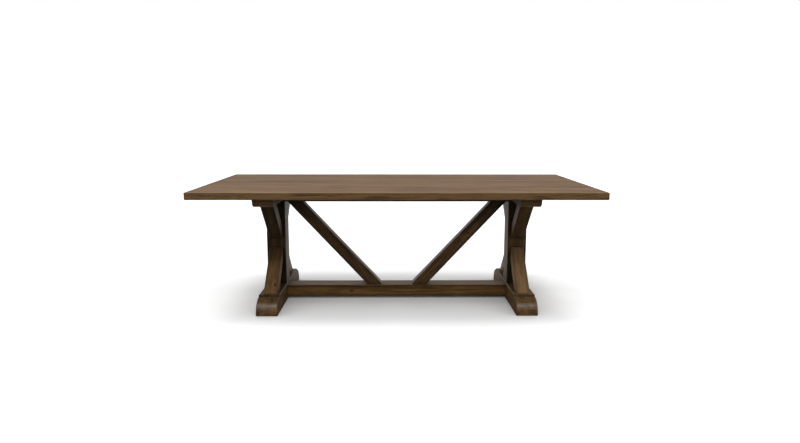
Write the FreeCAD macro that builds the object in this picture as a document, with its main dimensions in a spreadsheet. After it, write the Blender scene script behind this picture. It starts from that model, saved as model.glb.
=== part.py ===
"""Trestle dining table: a plank top on two X-braced trestles, tied by a stretcher, a rail and two braces.

Millimetres, +Z up. The origin is on the floor under the middle of the table, X runs along the table
and Y across it. Each piece of timber is a PartDesign body drawn from the cells of the sheet "Sizes".
Pieces of a trestle are drawn about the middle of that trestle, with +X pointing to the table's end.
"""
import FreeCAD, Part
import math
import os
import Sketcher
from FreeCAD import Placement, Rotation, Vector

SIZES = {
    # whole table
    "table_height": (770, "floor to the top of the boards"),
    "timber_arris": (3, "chamfer along the edges of the base timbers"),
    "glue_gap": (0.1, "gap left all round a glued tenon or tongue"),
    # tabletop
    "top_length": (2400, "length of the boards"),
    "top_width": (1100, "width over all boards"),
    "top_thickness": (42, "thickness of the boards"),
    "top_arris": (2.5, "chamfer along the edges of the tabletop"),
    "end_overhang": (412, "end of the boards to the middle of a trestle"),
    "board_count": (7, "boards side by side"),
    "tongue_thickness": (10, "loose tongue between two boards"),
    "tongue_width": (24, "loose tongue, across the joint"),
    "tongue_setback": (60, "end of the boards to the end of a tongue"),
    "tongue_clearance": (20, "side of a bearer to the end of a tongue"),
    # bearers, under the boards
    "bearer_length": (872, "length across the table"),
    "bearer_width": (122, "width along the table"),
    "bearer_height": (62, "height"),
    "bearer_nose": (42, "radius of the lower corners"),
    # feet
    "foot_length": (822, "length across the table"),
    "foot_width": (130, "width along the table"),
    "foot_height": (104, "height of the timber"),
    "quirk_step": (10, "drop from the top of the foot to the toe"),
    "quirk_ledge": (5, "flat between the step and the round of the toe"),
    "toe_face": (7, "upright face under the round of the toe"),
    # posts
    "post_width": (122, "width along the table"),
    "post_depth": (122, "depth across the table"),
    "tenon_width": (80, "tenons of the post, along the table"),
    "tenon_depth": (60, "tenons of the post, across the table"),
    "foot_tenon": (60, "length of the tenon in the foot"),
    "bearer_tenon": (40, "length of the tenon in the bearer"),
    # legs of the X
    "leg_width": (82, "width along the table"),
    "leg_depth": (68, "depth square to the leg"),
    "leg_nose": (11, "how far the blunt nose stands off the post"),
    "upper_nose_height": (411, "floor to the nose of an upper leg"),
    "lower_nose_height": (348, "floor to the nose of a lower leg"),
    "upper_leg_setback": (110, "end of the bearer to the toe of an upper leg"),
    "lower_leg_setback": (24, "step of the foot to the toe of a lower leg"),
    # stretcher and rail
    "stretcher_lift": (16, "floor to the underside of the stretcher"),
    "stretcher_height": (76, "height"),
    "stretcher_depth": (116, "depth across the table"),
    "rail_height": (78, "height"),
    "rail_depth": (116, "depth across the table"),
    "stub_length": (10, "stub tenons on the ends of the stretcher and the rail"),
    "stub_width": (100, "stub tenons, across the table"),
    "stub_height": (40, "stub tenons, height"),
    # braces
    "brace_depth": (70, "depth across the table"),
    "brace_thickness": (72, "thickness square to the brace"),
    "brace_spacing": (197, "gap between the two braces on the stretcher"),
    "brace_post_gap": (11, "head of a brace to the post"),
    # loose tenons in the ends of legs and braces
    "loose_tenon_width": (40, "width"),
    "loose_tenon_thickness": (14, "thickness"),
    "loose_tenon_length": (60, "length, half in each timber"),
    "nose_tenon_rise": (56, "nose of a leg to its tenon in the post"),
    "brace_tenon_setback": (64, "toe or head of a brace to its tenon"),
    # connector bolts, through foot or bearer into the end of the stretcher or rail
    "bolt_clearance": (1, "bolt hole over bolt diameter"),
    "hole_run_out": (3, "drilled depth beyond the tip of a bolt or screw"),
    "connector_diameter": (10, "shank"),
    "connector_length": (170, "under the head"),
    "connector_head": (16, "hexagon head, across flats"),
    "connector_head_height": (6.5, "hexagon head, height"),
    "connector_spacing": (84, "between the two bolts of a joint"),
    "connector_bore": (28, "diameter of the counterbore"),
    "connector_sink": (14, "depth of the counterbore"),
    "nut_width": (20, "square nut"),
    "nut_thickness": (10, "square nut"),
    "nut_setback": (45, "end of the timber to the middle of the nut"),
    "nut_room": (20, "mortise beyond the middle of the nut, for the tip of the bolt"),
    # coach screws, through the bearers into the boards
    "screw_diameter": (8, "shank"),
    "screw_length": (80, "under the head"),
    "screw_head": (13, "hexagon head, across flats"),
    "screw_head_height": (5.5, "hexagon head, height"),
    "screw_travel": (8, "how far a screw can slide in its slot as the boards move"),
    # pads under the feet
    "pad_width": (60, "felt pad, along the table"),
    "pad_length": (90, "felt pad, across the table"),
    "pad_thickness": (2, "felt pad"),
    "pad_inset": (60, "end of the foot to the middle of a pad"),
}

# Levels, measured from the floor
TOP_UNDERSIDE = "(Sizes.table_height - Sizes.top_thickness)"
TONGUE_LEVEL = f"({TOP_UNDERSIDE} + Sizes.top_thickness / 2)"
BEARER_UNDERSIDE = f"({TOP_UNDERSIDE} - Sizes.bearer_height)"
BEARER_MIDDLE = f"({TOP_UNDERSIDE} - Sizes.bearer_height / 2)"
RAIL_UNDERSIDE = f"({TOP_UNDERSIDE} - Sizes.rail_height)"
RAIL_MIDDLE = f"({TOP_UNDERSIDE} - Sizes.rail_height / 2)"
FOOT_UNDERSIDE = "Sizes.pad_thickness"
FOOT_TOP = "(Sizes.pad_thickness + Sizes.foot_height)"
TOE_TOP = f"({FOOT_TOP} - Sizes.quirk_step)"
STRETCHER_TOP = "(Sizes.stretcher_lift + Sizes.stretcher_height)"
STRETCHER_MIDDLE = "(Sizes.stretcher_lift + Sizes.stretcher_height / 2)"

# Loose tenons
TENON_REACH = "(Sizes.loose_tenon_length / 2)"
MORTISE_DEPTH = f"({TENON_REACH} + Sizes.glue_gap)"
MORTISE_WIDTH = "(Sizes.loose_tenon_width + 2 * Sizes.glue_gap)"
MORTISE_THICKNESS = "(Sizes.loose_tenon_thickness + 2 * Sizes.glue_gap)"
UPPER_NOSE_TENON = "(Sizes.upper_nose_height + Sizes.nose_tenon_rise)"
LOWER_NOSE_TENON = "(Sizes.lower_nose_height - Sizes.nose_tenon_rise)"

# Places across the table, measured from its middle line
TOE_RADIUS = "(Sizes.foot_height - Sizes.quirk_step - Sizes.toe_face)"
TOE_START = f"(Sizes.foot_length / 2 - {TOE_RADIUS})"
QUIRK = f"({TOE_START} - Sizes.quirk_ledge)"
POST_FACE = "(Sizes.post_depth / 2)"
UPPER_TOE = "(Sizes.bearer_length / 2 - Sizes.upper_leg_setback)"
LOWER_TOE = f"({QUIRK} - Sizes.lower_leg_setback)"
UPPER_RUN = f"({UPPER_TOE} - {POST_FACE} - Sizes.leg_nose)"
UPPER_RISE = f"({BEARER_UNDERSIDE} - Sizes.upper_nose_height)"
UPPER_END = f"(Sizes.leg_depth * sqrt({UPPER_RUN}^2 + {UPPER_RISE}^2) / {UPPER_RISE})"
UPPER_TENON = f"({UPPER_TOE} - ({UPPER_END} + {TENON_REACH} * {UPPER_RUN} / {UPPER_RISE}) / 2)"
LOWER_RUN = f"({LOWER_TOE} - {POST_FACE} - Sizes.leg_nose)"
LOWER_RISE = f"(Sizes.lower_nose_height - {FOOT_TOP})"
LOWER_END = f"(Sizes.leg_depth * sqrt({LOWER_RUN}^2 + {LOWER_RISE}^2) / {LOWER_RISE})"
LOWER_TENON = f"({LOWER_TOE} - ({LOWER_END} + {TENON_REACH} * {LOWER_RUN} / {LOWER_RISE}) / 2)"
INNER_SCREW = f"(({POST_FACE} + {UPPER_TOE} - {UPPER_END}) / 2)"
OUTER_SCREW = "(Sizes.bearer_length / 2 - (Sizes.upper_leg_setback + Sizes.bearer_nose) / 2)"
PAD_PLACE = "(Sizes.foot_length / 2 - Sizes.pad_inset)"
BOARD_WIDTH = "(Sizes.top_width / Sizes.board_count)"

# Places along the table, measured from its middle
TRESTLE = "(Sizes.top_length / 2 - Sizes.end_overhang)"
FOOT_INNER = f"({TRESTLE} - Sizes.foot_width / 2)"
BEARER_INNER = f"({TRESTLE} - Sizes.bearer_width / 2)"
BEARER_OUTER = f"({TRESTLE} + Sizes.bearer_width / 2)"
BRACE_TOE = "(Sizes.brace_spacing / 2)"
BRACE_HEAD = f"({TRESTLE} - Sizes.post_width / 2 - Sizes.brace_post_gap)"
BRACE_TOE_TENON = f"({BRACE_TOE} + Sizes.brace_tenon_setback)"
BRACE_HEAD_TENON = f"({BRACE_HEAD} - Sizes.brace_tenon_setback)"

# Tongues: one between the two bearers and one outside each bearer, in every joint of the tabletop
INNER_TONGUE = f"(2 * ({BEARER_INNER} - Sizes.tongue_clearance))"
OUTER_TONGUE = (
    f"(Sizes.top_length / 2 - Sizes.tongue_setback - {BEARER_OUTER} - Sizes.tongue_clearance)")
OUTER_TONGUE_PLACE = f"({BEARER_OUTER} + Sizes.tongue_clearance + {OUTER_TONGUE} / 2)"

# Holes and grooves
CONNECTOR_HOLE = "(Sizes.connector_diameter + Sizes.bolt_clearance)"
GROOVE_DEPTH = "(Sizes.tongue_width / 2 + Sizes.glue_gap)"

STRAIGHT = Rotation()
TURNED = Rotation(Vector(0, 0, 1), 180)
QUARTER = Rotation(Vector(0, 0, 1), 90)
LEVEL = Rotation(Vector(1, 0, 0), 90)
SIDES = ((-1, "left"), (1, "right"))

doc = FreeCAD.newDocument("TrestleDiningTable")
sheet = doc.addObject("Spreadsheet::Sheet", "Sizes")
for row, (alias, (value, note)) in enumerate(SIZES.items(), start=1):
    sheet.set(f"A{row}", note)
    sheet.set(f"B{row}", str(value))
    sheet.setAlias(f"B{row}", alias)
doc.recompute()


def number(expression):
    """Value of an expression of the sheet's cells."""
    return float(sheet.evalExpression(expression))


def vector(point):
    """Sketch vector of a pair of expressions."""
    return Vector(number(point[0]), number(point[1]), 0)


def minus(expression):
    """The expression with its sign changed."""
    return f"-({expression})"


def new_body(label):
    """Empty body whose label names the piece."""
    body = doc.addObject("PartDesign::Body", label)
    body.Label = label
    return body


def new_sketch(body, name, plane, offset=None):
    """Sketch on one of the body's origin planes, moved along the plane's normal by an expression."""
    sketch = body.newObject("Sketcher::SketchObject", f"{body.Name}_{name}")
    origin_plane = next(part for part in body.Origin.OriginFeatures if part.Role == plane)
    sketch.AttachmentSupport = [(origin_plane, "")]
    sketch.MapMode = "FlatFace"
    if offset is not None:
        sketch.setExpression("AttachmentOffset.Base.z", offset)
    return sketch


def pin_point(sketch, geometry, point, place):
    """Hold a point of the sketch at a place given by two expressions."""
    for kind, expression in zip(("DistanceX", "DistanceY"), place):
        rule = Sketcher.Constraint(kind, -1, 1, geometry, point, number(expression))
        index = sketch.addConstraint(rule)
        sketch.setExpression(f"Constraints[{index}]", expression)


def draw_outline(sketch, corners, arcs=None):
    """Draw a closed outline, anticlockwise through corners given as pairs of expressions.

    arcs gives the turn in degrees of each side that is an arc, by the number of the corner it starts
    from; the arc carries on smoothly from the straight side before it.
    """
    arcs = arcs or {}
    points = [vector(corner) for corner in corners]
    first = sketch.GeometryCount
    for side, start in enumerate(points):
        end = points[(side + 1) % len(points)]
        if side in arcs:
            sketch.addGeometry(bulging_arc(start, end, arcs[side]), False)
        else:
            sketch.addGeometry(Part.LineSegment(start, end), False)
    for side, corner in enumerate(corners):
        before = first + (side - 1) % len(corners)
        joint = "Tangent" if side in arcs else "Coincident"
        sketch.addConstraint(Sketcher.Constraint(joint, before, 2, first + side, 1))
        pin_point(sketch, first + side, 1, corner)


def bulging_arc(start, end, turn):
    """Anticlockwise arc from start to end that turns by so many degrees."""
    chord = end - start
    outward = Vector(chord.y, -chord.x, 0).normalize()
    rise = chord.Length / 2 * math.tan(math.radians(turn) / 4)
    return Part.Arc(start, (start + end) / 2 + outward * rise, end)


def draw_rectangle(sketch, centre, width, height):
    """Draw a rectangle about a centre, all sizes being expressions."""
    left, right = (f"({centre[0]}) {sign} ({width}) / 2" for sign in "-+")
    low, high = (f"({centre[1]}) {sign} ({height}) / 2" for sign in "-+")
    draw_outline(sketch, [(left, low), (right, low), (right, high), (left, high)])


def draw_eased_rectangle(sketch, centre, width, height, arris):
    """Draw a rectangle with chamfered corners about a centre, all sizes being expressions."""
    left, right = (f"({centre[0]}) {sign} ({width}) / 2" for sign in "-+")
    low, high = (f"({centre[1]}) {sign} ({height}) / 2" for sign in "-+")
    corners = [
        (f"{left} + {arris}", low),
        (f"{right} - {arris}", low),
        (right, f"{low} + {arris}"),
        (right, f"{high} - {arris}"),
        (f"{right} - {arris}", high),
        (f"{left} + {arris}", high),
        (left, f"{high} - {arris}"),
        (left, f"{low} + {arris}"),
    ]
    draw_outline(sketch, corners)


def draw_slot(sketch, centre, width, travel):
    """Draw a slot that is long in the sketch's second direction."""
    left, right = (f"({centre[0]}) {sign} ({width}) / 2" for sign in "-+")
    low, high = (f"({centre[1]}) {sign} ({travel}) / 2" for sign in "-+")
    draw_outline(sketch, [(left, low), (right, low), (right, high), (left, high)], {0: 180, 2: 180})


def draw_hexagon(sketch, across):
    """Draw a hexagon about the sketch's origin, given its size across flats."""
    corners = []
    for turn in range(0, 360, 60):
        corners.append((f"{across} / sqrt(3) * cos({turn} deg)", f"{across} / sqrt(3) * sin({turn} deg)"))
    draw_outline(sketch, corners)


def draw_circles(sketch, centres, diameter):
    """Draw circles of one diameter at centres given as pairs of expressions."""
    for centre in centres:
        circle = Part.Circle(vector(centre), Vector(0, 0, 1), number(diameter) / 2)
        geometry = sketch.addGeometry(circle, False)
        pin_point(sketch, geometry, 3, centre)
        index = sketch.addConstraint(Sketcher.Constraint("Diameter", geometry, number(diameter)))
        sketch.setExpression(f"Constraints[{index}]", diameter)


def pad(body, sketch, length, side="One side", backwards=False):
    """Raise a solid from a sketch; by default along the sketch's normal."""
    feature = body.newObject("PartDesign::Pad", f"{sketch.Name}_pad")
    feature.Profile = sketch
    feature.SideType = side
    feature.Reversed = backwards
    feature.setExpression("Length", length)
    doc.recompute()
    return feature


def pocket(body, sketch, depth, side="One side", forwards=False):
    """Cut a sketch into the body; by default against the sketch's normal. It must take wood away."""
    before = body.Shape.Volume
    feature = body.newObject("PartDesign::Pocket", f"{sketch.Name}_pocket")
    feature.Profile = sketch
    feature.SideType = side
    feature.Reversed = forwards
    feature.setExpression("Length", depth)
    doc.recompute()
    if body.Shape.Volume > before - 1:
        raise RuntimeError(f"{feature.Name} cuts nothing")
    return feature


def ease_edges(body, arris, chosen):
    """Chamfer those edges of the body that the test chosen picks."""
    base = body.Tip
    names = [f"Edge{count}" for count, edge in enumerate(base.Shape.Edges, start=1) if chosen(edge)]
    feature = body.newObject("PartDesign::Chamfer", f"{body.Name}_arris")
    feature.Base = (base, names)
    feature.setExpression("Size", arris)
    doc.recompute()
    return feature


def close(first, second):
    """Whether two lengths agree."""
    return abs(first - second) < 0.01


def place(piece, along="0", across="0", level="0", rotation=STRAIGHT):
    """Put a piece at expressions of its place, turned by a fixed rotation."""
    piece.Placement = Placement(Vector(), rotation)
    for axis, expression in zip("xyz", (along, across, level)):
        piece.setExpression(f"Placement.Base.{axis}", expression)


def both_ways(expression):
    """An expression and its mirror image."""
    return (minus(expression), expression)


def grid(along, across):
    """All four pairs of plus and minus two expressions."""
    return [(first, second) for first in both_ways(along) for second in both_ways(across)]


# ---- tabletop ------------------------------------------------------------------------------------

def build_board(index, count):
    """One board, with stopped grooves for loose tongues in each edge that meets another board."""
    middle = f"({BOARD_WIDTH} * ({index} - ({count} - 1) / 2))"
    body = new_body(f"top_board_{index + 1}")
    section = new_sketch(body, "section", "YZ_Plane")
    draw_rectangle(section, ("0", TONGUE_LEVEL), BOARD_WIDTH, "Sizes.top_thickness")
    pad(body, section, "Sizes.top_length", side="Symmetric")
    joined_edges = [sign for sign, joined in ((-1, index > 0), (1, index < count - 1)) if joined]
    for sign in joined_edges:
        grooves = new_sketch(body, f"grooves_{'front' if sign < 0 else 'rear'}", "XY_Plane", TONGUE_LEVEL)
        across = f"{sign} * ({BOARD_WIDTH} - {GROOVE_DEPTH}) / 2"
        for along, length in tongue_stretches():
            draw_rectangle(grooves, (along, across), f"{length} + 2 * Sizes.glue_gap", GROOVE_DEPTH)
        pocket(body, grooves, "Sizes.tongue_thickness + 2 * Sizes.glue_gap", side="Symmetric")
    drill_board(body, middle)
    ease_board(body, joined_edges)
    place(body, across=middle)
    return body


def tongue_stretches():
    """Middle and length of each tongue of a joint, along the table; no tongue runs over a bearer."""
    return [("0", INNER_TONGUE)] + [(along, OUTER_TONGUE) for along in both_ways(OUTER_TONGUE_PLACE)]


def drill_board(body, middle):
    """Holes for the coach screws that fall in this board."""
    reach = (number(BOARD_WIDTH) + number("Sizes.screw_diameter")) / 2
    for screw in both_ways(INNER_SCREW) + both_ways(OUTER_SCREW):
        if abs(number(screw) - number(middle)) < reach:
            holes = new_sketch(body, "screw_holes", "XY_Plane", TOP_UNDERSIDE)
            centres = [(along, f"{screw} - {middle}") for along in both_ways(TRESTLE)]
            draw_circles(holes, centres, "Sizes.screw_diameter")
            depth = "Sizes.screw_length - Sizes.bearer_height + Sizes.hole_run_out"
            pocket(body, holes, depth, forwards=True)


def ease_board(body, joined_edges):
    """Chamfer the board's edges that are on the outside of the tabletop."""
    end = number("Sizes.top_length") / 2
    edge = number(BOARD_WIDTH) / 2
    open_edges = [sign * edge for sign in (-1, 1) if sign not in joined_edges]

    def outside(candidate):
        box = candidate.BoundBox
        at_end = close(box.XLength, 0) and close(abs(box.XMin), end)
        along_end = at_end and close(box.YLength, 2 * edge)
        on_open_edge = any(close(box.YLength, 0) and close(box.YMin, place_y) for place_y in open_edges)
        along_edge = on_open_edge and close(box.XLength, 2 * end)
        return along_end or along_edge or (on_open_edge and at_end)

    ease_edges(body, "Sizes.top_arris", outside)


def build_tongues(count):
    """The loose tongues that line up and join the boards."""
    tongues = {}
    for name, length in (("inner_tongue", INNER_TONGUE), ("outer_tongue", OUTER_TONGUE)):
        tongue = new_body(name)
        section = new_sketch(tongue, "section", "YZ_Plane")
        draw_rectangle(section, ("0", "0"), "Sizes.tongue_width", "Sizes.tongue_thickness")
        pad(tongue, section, length, side="Symmetric")
        tongues[length] = tongue
    copies = []
    for seam in range(1, count):
        across = f"{BOARD_WIDTH} * ({seam} - {count} / 2)"
        for along, length in tongue_stretches():
            copies.append((tongues[length], along, across, TONGUE_LEVEL, STRAIGHT))
    return group_copies("board_tongues", copies)


# ---- trestles ------------------------------------------------------------------------------------

def drill_connectors(body, level, half_width):
    """Holes through a foot or bearer for the bolts of the stretcher or rail, with counterbores."""
    centres = [(across, level) for across in both_ways("Sizes.connector_spacing / 2")]
    holes = new_sketch(body, "bolt_holes", "YZ_Plane", half_width)
    draw_circles(holes, centres, CONNECTOR_HOLE)
    pocket(body, holes, f"2 * {half_width}")
    bores = new_sketch(body, "bolt_bores", "YZ_Plane", half_width)
    draw_circles(bores, centres, "Sizes.connector_bore")
    pocket(body, bores, "Sizes.connector_sink")


def cut_stub_mortise(body, level, half_width):
    """Shallow mortise on the inner side for the stub tenon of the stretcher or rail."""
    sketch = new_sketch(body, "stub_mortise", "YZ_Plane", minus(half_width))
    width = "Sizes.stub_width + 2 * Sizes.glue_gap"
    height = "Sizes.stub_height + 2 * Sizes.glue_gap"
    draw_rectangle(sketch, ("0", level), width, height)
    pocket(body, sketch, "Sizes.stub_length + Sizes.glue_gap", forwards=True)


def cut_post_mortise(body, level, depth, forwards):
    """Mortise for a tenon of the post."""
    sketch = new_sketch(body, "post_mortise", "XY_Plane", level)
    width = "Sizes.tenon_width + 2 * Sizes.glue_gap"
    height = "Sizes.tenon_depth + 2 * Sizes.glue_gap"
    draw_rectangle(sketch, ("0", "0"), width, height)
    pocket(body, sketch, f"{depth} + Sizes.glue_gap", forwards=forwards)


def cut_leg_mortises(body, level, across, forwards):
    """Mortises for the loose tenons of a pair of legs."""
    sketch = new_sketch(body, "leg_mortises", "XY_Plane", level)
    for middle in both_ways(across):
        draw_rectangle(sketch, ("0", middle), MORTISE_WIDTH, MORTISE_THICKNESS)
    pocket(body, sketch, MORTISE_DEPTH, forwards=forwards)


def build_foot(label):
    """Sled foot: flat on top, with a step and a quarter-round toe at each end."""
    half = "(Sizes.foot_width / 2)"
    end = "(Sizes.foot_length / 2)"
    toe_low = f"({TOE_TOP} - {TOE_RADIUS})"
    body = new_body(label)
    profile = new_sketch(body, "profile", "YZ_Plane")
    corners = [
        (minus(end), FOOT_UNDERSIDE),
        (end, FOOT_UNDERSIDE),
        (end, toe_low),
        (TOE_START, TOE_TOP),
        (QUIRK, TOE_TOP),
        (QUIRK, FOOT_TOP),
        (minus(QUIRK), FOOT_TOP),
        (minus(QUIRK), TOE_TOP),
        (minus(TOE_START), TOE_TOP),
        (minus(end), toe_low),
    ]
    draw_outline(profile, corners, {2: 90, 8: 90})
    pad(body, profile, "Sizes.foot_width", side="Symmetric")
    ease_edges(body, "Sizes.timber_arris", foot_arris)
    cut_post_mortise(body, FOOT_TOP, "Sizes.foot_tenon", forwards=False)
    cut_stub_mortise(body, STRETCHER_MIDDLE, half)
    drill_connectors(body, STRETCHER_MIDDLE, half)
    cut_leg_mortises(body, FOOT_TOP, LOWER_TENON, forwards=False)
    return body


def foot_arris(edge):
    """Whether an edge of the foot's blank runs along its upper outline, on either side."""
    box = edge.BoundBox
    on_side = close(box.XLength, 0) and close(abs(box.XMin), number("Sizes.foot_width") / 2)
    on_floor = close(box.ZMax, number(FOOT_UNDERSIDE))
    at_quirk = close(box.YLength, 0) and close(abs(box.YMin), number(QUIRK))
    return on_side and not on_floor and not at_quirk


def build_bearer(label):
    """Bearer under the boards, with rounded lower corners and slotted holes for the coach screws."""
    half = "(Sizes.bearer_width / 2)"
    end = "(Sizes.bearer_length / 2)"
    nose = "Sizes.bearer_nose"
    body = new_body(label)
    profile = new_sketch(body, "profile", "YZ_Plane")
    corners = [
        (f"-{end} + {nose}", BEARER_UNDERSIDE),
        (f"{end} - {nose}", BEARER_UNDERSIDE),
        (end, f"{BEARER_UNDERSIDE} + {nose}"),
        (end, TOP_UNDERSIDE),
        (minus(end), TOP_UNDERSIDE),
        (minus(end), f"{BEARER_UNDERSIDE} + {nose}"),
    ]
    draw_outline(profile, corners, {1: 90, 5: 90})
    pad(body, profile, "Sizes.bearer_width", side="Symmetric")
    ease_edges(body, "Sizes.timber_arris", bearer_arris)
    cut_post_mortise(body, BEARER_UNDERSIDE, "Sizes.bearer_tenon", forwards=True)
    cut_stub_mortise(body, BEARER_MIDDLE, half)
    drill_connectors(body, BEARER_MIDDLE, half)
    cut_leg_mortises(body, BEARER_UNDERSIDE, UPPER_TENON, forwards=True)
    slots = new_sketch(body, "screw_slots", "XY_Plane", BEARER_UNDERSIDE)
    for across in both_ways(INNER_SCREW) + both_ways(OUTER_SCREW):
        draw_slot(slots, ("0", across), "Sizes.screw_diameter + Sizes.bolt_clearance", "Sizes.screw_travel")
    pocket(body, slots, "Sizes.bearer_height", forwards=True)
    return body


def bearer_arris(edge):
    """Whether an edge of the bearer's blank runs along its lower outline, on either side."""
    box = edge.BoundBox
    on_side = close(box.XLength, 0) and close(abs(box.XMin), number("Sizes.bearer_width") / 2)
    return on_side and not close(box.ZMin, number(TOP_UNDERSIDE))


def build_post(label):
    """Square post between foot and bearer, with a tenon at each end."""
    body = new_body(label)
    section = new_sketch(body, "section", "XY_Plane", FOOT_TOP)
    draw_eased_rectangle(
        section, ("0", "0"), "Sizes.post_width", "Sizes.post_depth", "Sizes.timber_arris")
    pad(body, section, f"{BEARER_UNDERSIDE} - {FOOT_TOP}")
    for name, level, length, backwards in (
        ("foot_tenon", FOOT_TOP, "Sizes.foot_tenon", True),
        ("bearer_tenon", BEARER_UNDERSIDE, "Sizes.bearer_tenon", False),
    ):
        tenon = new_sketch(body, name, "XY_Plane", level)
        draw_rectangle(tenon, ("0", "0"), "Sizes.tenon_width", "Sizes.tenon_depth")
        pad(body, tenon, length, backwards=backwards)
    for name, offset, forwards in (("front", POST_FACE, False), ("rear", minus(POST_FACE), True)):
        mortises = new_sketch(body, f"{name}_mortises", "XZ_Plane", offset)
        for level in (UPPER_NOSE_TENON, LOWER_NOSE_TENON):
            draw_rectangle(mortises, ("0", level), MORTISE_WIDTH, MORTISE_THICKNESS)
        pocket(body, mortises, MORTISE_DEPTH, forwards=forwards)
    return body


def draw_leg(sketch, toe, end_level, nose_level, end_length):
    """Side view of a leg: blunt nose on the post, long sides parallel, cut level at the toe.

    The corners run nose at the post, nose at the front, toe, heel, and crotch at the post.
    """
    nose = Vector(number(POST_FACE), number(nose_level), 0)
    nose_front = nose + Vector(number("Sizes.leg_nose"), 0, 0)
    toe_point = Vector(number(toe), number(end_level), 0)
    heel = toe_point - Vector(number(end_length), 0, 0)
    slope = (toe_point.y - nose_front.y) / (toe_point.x - nose_front.x)
    crotch = Vector(nose.x, heel.y - slope * (heel.x - nose.x), 0)
    points = [nose, nose_front, toe_point, heel, crotch]
    for side, start in enumerate(points):
        sketch.addGeometry(Part.LineSegment(start, points[(side + 1) % 5]), False)
    for side in range(5):
        sketch.addConstraint(Sketcher.Constraint("Coincident", side, 2, (side + 1) % 5, 1))
    pin_point(sketch, 0, 1, (POST_FACE, nose_level))
    pin_point(sketch, 2, 1, (toe, end_level))
    sketch.addConstraint(Sketcher.Constraint("Horizontal", 0))
    sketch.addConstraint(Sketcher.Constraint("Horizontal", 2))
    sketch.addConstraint(Sketcher.Constraint("Vertical", 4))
    sketch.addConstraint(Sketcher.Constraint("Parallel", 1, 3))
    for rule, expression in (
        (Sketcher.Constraint("DistanceX", 0, 1, 0, 2, number("Sizes.leg_nose")), "Sizes.leg_nose"),
        (Sketcher.Constraint("Distance", 3, 1, 1, number("Sizes.leg_depth")), "Sizes.leg_depth"),
    ):
        index = sketch.addConstraint(rule)
        sketch.setExpression(f"Constraints[{index}]", expression)


def build_leg(label, toe, end_level, nose_level, end_length, end_tenon, nose_tenon, upper):
    """Straight diagonal leg from the post up to the bearer or down to the foot."""
    body = new_body(label)
    side_view = new_sketch(body, "side_view", "YZ_Plane")
    draw_leg(side_view, toe, end_level, nose_level, end_length)
    pad(body, side_view, "Sizes.leg_width", side="Symmetric")

    def along_leg(edge):
        box = edge.BoundBox
        return close(box.XLength, 0) and box.YLength > number("Sizes.leg_depth") and box.ZLength > 1

    ease_edges(body, "Sizes.timber_arris", along_leg)
    end_mortise = new_sketch(body, "end_mortise", "XY_Plane", end_level)
    draw_rectangle(end_mortise, ("0", end_tenon), MORTISE_WIDTH, MORTISE_THICKNESS)
    pocket(body, end_mortise, MORTISE_DEPTH, forwards=not upper)
    nose_mortise = new_sketch(body, "nose_mortise", "XZ_Plane", minus(POST_FACE))
    draw_rectangle(nose_mortise, ("0", nose_tenon), MORTISE_WIDTH, MORTISE_THICKNESS)
    pocket(body, nose_mortise, MORTISE_DEPTH)
    return body


# ---- stretcher, rail and braces ------------------------------------------------------------------

def build_tie(label, middle, height, depth, shoulder, joint_level):
    """Timber between the two trestles, with stub tenons, bolt holes in its ends and nut mortises below."""
    body = new_body(label)
    section = new_sketch(body, "section", "YZ_Plane")
    draw_eased_rectangle(section, ("0", middle), depth, height, "Sizes.timber_arris")
    pad(body, section, f"2 * {shoulder}", side="Symmetric")
    stub = new_sketch(body, "stub_tenons", "YZ_Plane")
    draw_rectangle(stub, ("0", joint_level), "Sizes.stub_width", "Sizes.stub_height")
    pad(body, stub, f"2 * ({shoulder} + Sizes.stub_length)", side="Symmetric")
    end = f"{shoulder} + Sizes.stub_length"
    centres = [(across, joint_level) for across in both_ways("Sizes.connector_spacing / 2")]
    for name, offset, forwards in (("right", end, False), ("left", minus(end), True)):
        holes = new_sketch(body, f"{name}_bolt_holes", "YZ_Plane", offset)
        draw_circles(holes, centres, CONNECTOR_HOLE)
        pocket(body, holes, "Sizes.stub_length + Sizes.nut_setback", forwards=forwards)
    underside = f"({middle} - {height} / 2)"
    nuts = new_sketch(body, "nut_mortises", "XY_Plane", underside)
    mortise = "(Sizes.nut_thickness / 2 + Sizes.nut_room)"
    middle_of_mortise = f"({shoulder} - Sizes.nut_setback + Sizes.nut_thickness / 2 - {mortise} / 2)"
    for centre in grid(middle_of_mortise, "Sizes.connector_spacing / 2"):
        draw_rectangle(nuts, centre, mortise, "Sizes.nut_width + 2 * Sizes.glue_gap")
    pocket(body, nuts, f"{joint_level} + Sizes.nut_width / 2 + Sizes.glue_gap - {underside}", forwards=True)
    return body


def cut_brace_mortises(body, level, along, forwards):
    """Mortises in the stretcher or rail for the loose tenons of both braces."""
    sketch = new_sketch(body, "brace_mortises", "XY_Plane", level)
    for middle in both_ways(along):
        draw_rectangle(sketch, (middle, "0"), MORTISE_THICKNESS, MORTISE_WIDTH)
    pocket(body, sketch, MORTISE_DEPTH, forwards=forwards)


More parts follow.
